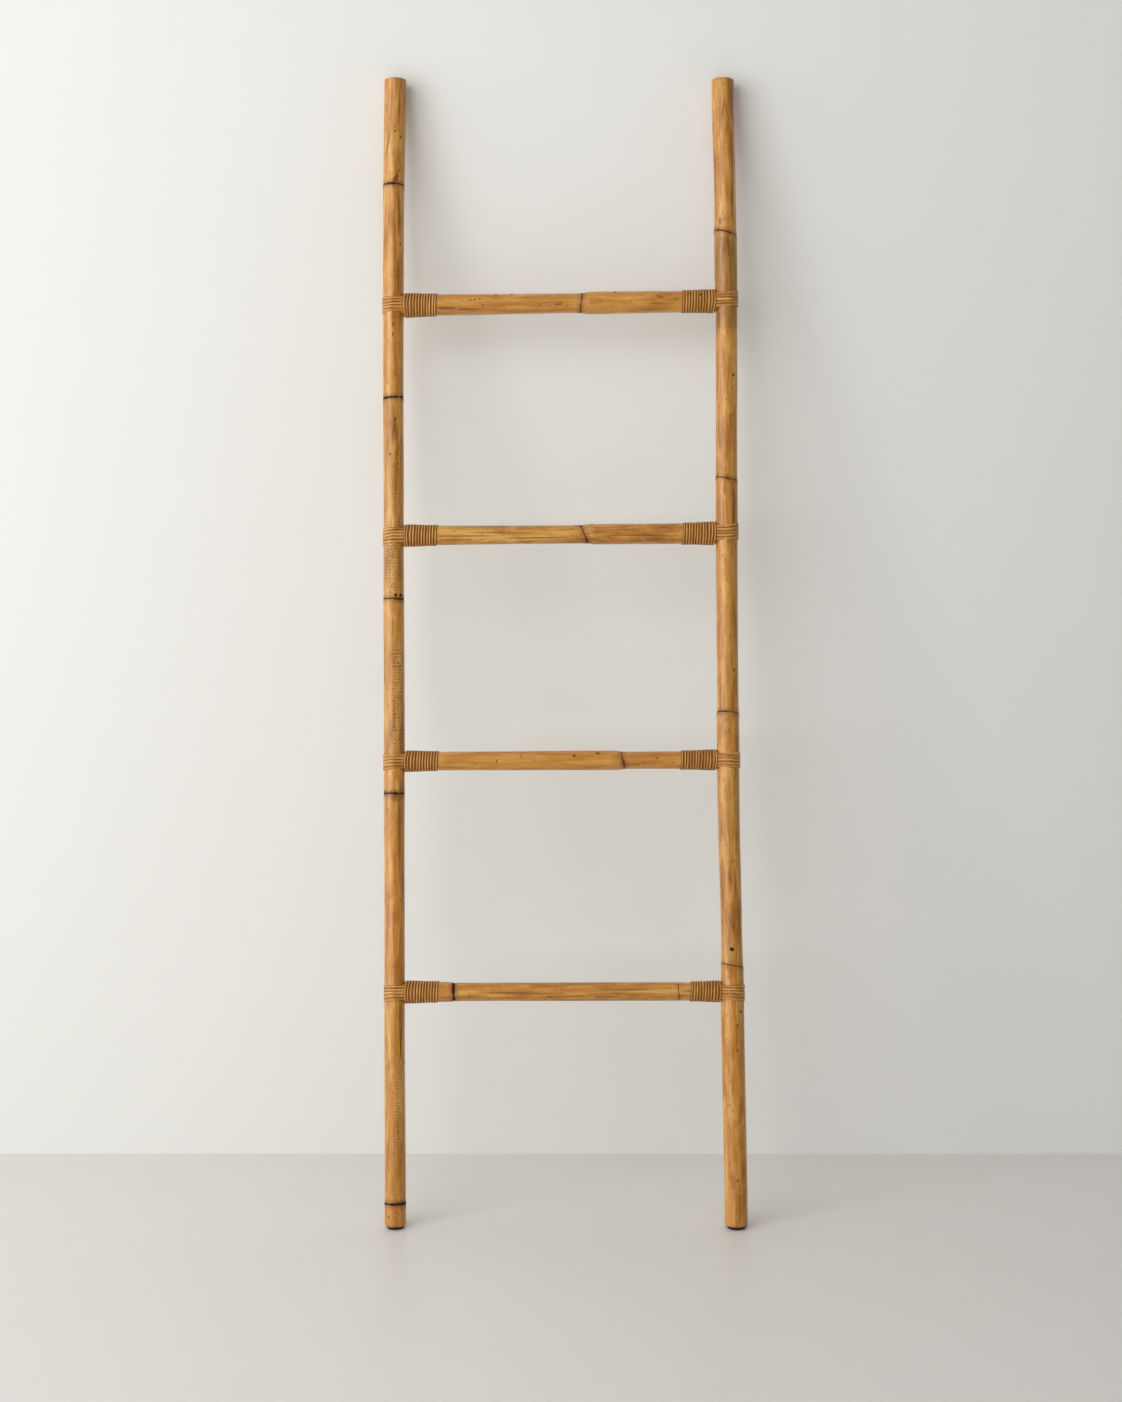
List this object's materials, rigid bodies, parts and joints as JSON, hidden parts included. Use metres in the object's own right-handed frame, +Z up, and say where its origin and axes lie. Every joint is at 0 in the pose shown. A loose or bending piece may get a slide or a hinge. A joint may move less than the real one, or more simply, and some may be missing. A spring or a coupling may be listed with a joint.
{
  "type": "leaning blanket ladder",
  "caption": "Leaning rattan ladder for blankets, with natural cane poles and rungs and cane-bound joints.",
  "frame": {"origin": "on the floor, under the middle of the ladder's outline", "axes": "+Z up, +Y towards the wall it leans on, +X to the right as seen from the front"},
  "size_m": [0.571, 0.3589, 1.7718],
  "materials": {
    "pole": "varnished rattan, honey amber, satin",
    "rung": "varnished rattan, pale honey, satin",
    "cane": "varnished binding cane",
    "screw": "zinc-plated",
    "tack": "dark blued",
    "pad": "matt"
  },
  "bodies": {
    "root": {"left_stile": "pole", "right_stile": "pole", "left_foot_pad": "pad", "right_foot_pad": "pad", "rung_1": "rung", "rung_2": "rung", "rung_3": "rung", "rung_4": "rung", "strap_1_left": "cane", "strap_1_right": "cane", "strap_2_left": "cane", "strap_2_right": "cane", "strap_3_left": "cane", "strap_3_right": "cane", "strap_4_left": "cane", "strap_4_right": "cane", "binding_1_left": "cane", "binding_1_right": "cane", "binding_2_left": "cane", "binding_2_right": "cane", "binding_3_left": "cane", "binding_3_right": "cane", "binding_4_left": "cane", "binding_4_right": "cane", "screw_1_left": "screw", "screw_1_right": "screw", "screw_2_left": "screw", "screw_2_right": "screw", "screw_3_left": "screw", "screw_3_right": "screw", "screw_4_left": "screw", "screw_4_right": "screw", "tack_1_left": "tack", "tack_1_right": "tack", "tack_2_left": "tack", "tack_2_right": "tack", "tack_3_left": "tack", "tack_3_right": "tack", "tack_4_left": "tack", "tack_4_right": "tack"}
  },
  "joints": []
}
